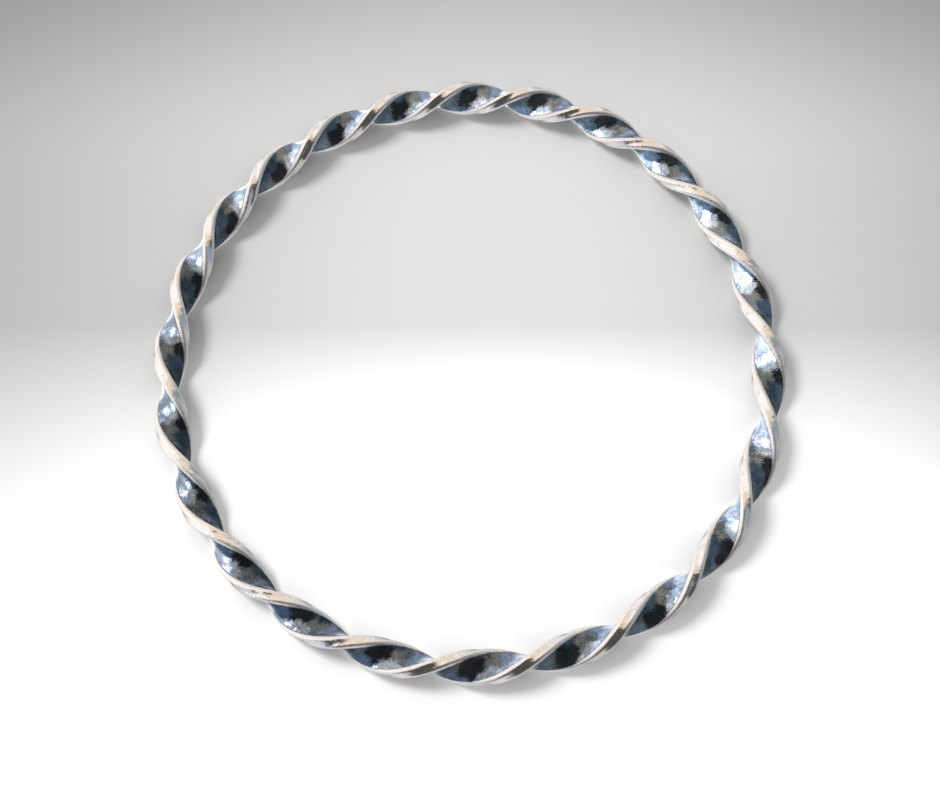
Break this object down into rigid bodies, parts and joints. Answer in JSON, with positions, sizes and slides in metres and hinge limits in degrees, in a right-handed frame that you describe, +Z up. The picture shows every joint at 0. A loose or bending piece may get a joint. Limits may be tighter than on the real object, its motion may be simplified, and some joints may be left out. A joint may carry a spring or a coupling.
{
  "type": "twisted wire bangle",
  "caption": "Closed round bangle of flat silver wire twisted evenly along its length, with slim rounded edges spiralling between wide faces.",
  "frame": {"origin": "centre of the ring, on the surface that it lies on", "axes": "+Z up, along the ring's own axis; +Y to the side of the ring that is farthest from the camera in the picture"},
  "size_m": [0.0719, 0.0716, 0.0039],
  "materials": {
    "silver": "polished silver, worn bright on the edges and lightly tarnished on the wide faces"
  },
  "bodies": {
    "root": {"twisted_wire": "silver"}
  },
  "joints": []
}
